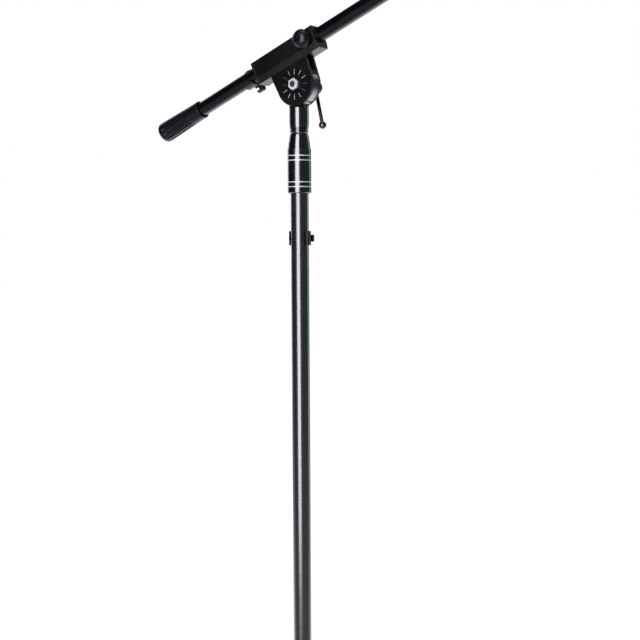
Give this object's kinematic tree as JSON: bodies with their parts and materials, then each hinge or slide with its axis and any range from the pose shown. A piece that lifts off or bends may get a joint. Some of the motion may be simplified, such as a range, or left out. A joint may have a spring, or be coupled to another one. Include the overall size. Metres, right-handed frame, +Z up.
{
  "type": "microphone boom stand",
  "caption": "Black microphone boom stand on a folding tripod, with a twist clutch for height, a tilting clamp head with a T-bar and knob, a telescoping boom and a fluted rubber grip.",
  "frame": {"origin": "on the floor under the axis of the mast, which is also under the middle of the bounding box", "axes": "+Z up the mast, +X under the front of the boom, the clamp knob faces -Y"},
  "size_m": [0.6734, 0.5894, 1.1752],
  "materials": {
    "black_coat": "glossy black powder coat with a fine orange-peel texture",
    "zinc": "bright zinc plating with fine turning marks",
    "old_nickel": "worn nickel over brass",
    "black_nylon": "black nylon with a soft sheen",
    "pale_nylon": "natural nylon",
    "rubber": "matte black rubber"
  },
  "bodies": {
    "base": {"tripod_hub": "black_coat", "leg_pivot_pins": "zinc", "base_bolt": "zinc", "base_washer": "zinc", "mast_end_plug": "black_nylon", "lower_mast_tube": "black_coat", "clutch_bushing": "black_nylon", "mast_cable_clip": "black_nylon"},
    "leg_1": {"leg_1_hinge_plug": "black_nylon", "leg_1_tube": "black_coat", "leg_1_foot": "rubber"},
    "leg_2": {"leg_2_hinge_plug": "black_nylon", "leg_2_tube": "black_coat", "leg_2_foot": "rubber"},
    "leg_3": {"leg_3_hinge_plug": "black_nylon", "leg_3_tube": "black_coat", "leg_3_foot": "rubber"},
    "clutch": {"clutch_sleeve": "black_coat", "clutch_nose": "black_coat"},
    "collet": {"clutch_collet": "pale_nylon"},
    "upper_mast": {"upper_mast_tube": "black_coat", "upper_mast_guide": "black_nylon", "mast_top_stud": "zinc", "adapter_lock_ring": "black_coat", "swivel_adapter": "black_coat"},
    "head": {"clamp_head": "black_coat", "clamp_end_caps": "black_nylon", "friction_washers": "pale_nylon", "pivot_nut": "zinc", "pivot_washers": "black_coat", "pressure_shoe": "pale_nylon"},
    "pivot_lever": {"pivot_bolt": "black_coat"},
    "sliding_bar": {"lever_bar": "black_coat", "lever_ball_upper": "old_nickel", "lever_ball_lower": "old_nickel"},
    "knob": {"clamp_knob": "black_nylon", "clamp_knob_screw": "zinc"},
    "boom_bush_pair": {"boom_bushes": "pale_nylon"},
    "boom": {"boom_outer_tube": "black_coat", "boom_grip": "rubber", "boom_tail_plug": "black_nylon", "boom_cable_clip": "black_nylon", "boom_lock_bush": "black_nylon", "boom_collet": "pale_nylon"},
    "boom_lock": {"boom_lock_collar": "black_coat"},
    "boom_extension": {"boom_inner_tube": "black_coat", "boom_inner_guide": "black_nylon", "boom_tip_stud": "zinc"}
  },
  "joints": [
    {"name": "leg_1_fold", "type": "hinge", "parent": "base", "child": "leg_1", "pos_m": [0.0135, 0.02338, 0.08], "axis": [-0.866, 0.5, 0], "range_deg": [0, 76]},
    {"name": "leg_2_fold", "type": "hinge", "parent": "base", "child": "leg_2", "pos_m": [-0.027, 0, 0.08], "axis": [0, -1, 0], "range_deg": [0, 76]},
    {"name": "leg_3_fold", "type": "hinge", "parent": "base", "child": "leg_3", "pos_m": [0.0135, -0.02338, 0.08], "axis": [0.866, 0.5, 0], "range_deg": [0, 76]},
    {"name": "clutch_turn", "type": "hinge", "parent": "base", "child": "clutch", "pos_m": [0, 0, 0.85], "axis": [0, 0, 1], "range_deg": [-120, 0]},
    {"name": "mast_swivel", "type": "hinge", "parent": "base", "child": "collet", "pos_m": [0, 0, 0.88], "axis": [0, 0, 1], "continuous": true},
    {"name": "mast_height", "type": "slide", "parent": "collet", "child": "upper_mast", "axis": [0, 0, 1], "range_m": [0, 0.65]},
    {"name": "boom_tilt", "type": "hinge", "parent": "upper_mast", "child": "head", "pos_m": [0, 0, 0.982], "axis": [0, -1, 0], "range_deg": [-105, 60]},
    {"name": "pivot_turn", "type": "hinge", "parent": "head", "child": "pivot_lever", "pos_m": [0, 0, 0.982], "axis": [0, 1, 0], "range_deg": [-180, 180]},
    {"name": "lever_slide", "type": "slide", "parent": "pivot_lever", "child": "sliding_bar", "axis": [-0.2164, 0, 0.9763], "range_m": [0, 0.034]},
    {"name": "knob_turn", "type": "hinge", "parent": "head", "child": "knob", "pos_m": [0.01712, -0.015, 1.03381], "axis": [0, -1, 0], "range_deg": [0, 360]},
    {"name": "boom_roll", "type": "hinge", "parent": "head", "child": "boom_bush_pair", "pos_m": [-0.01602, 0, 1.01974], "axis": [0.9205, 0, 0.3907], "continuous": true},
    {"name": "boom_slide", "type": "slide", "parent": "boom_bush_pair", "child": "boom", "axis": [0.9205, 0, 0.3907], "range_m": [-0.22, 0.008]},
    {"name": "boom_lock_turn", "type": "hinge", "parent": "boom", "child": "boom_lock", "pos_m": [0.26124, 0, 1.13743], "axis": [0.9205, 0, 0.3907], "range_deg": [-120, 0]},
    {"name": "boom_extend", "type": "slide", "parent": "boom", "child": "boom_extension", "axis": [0.9205, 0, 0.3907], "range_m": [0, 0.27]}
  ]
}
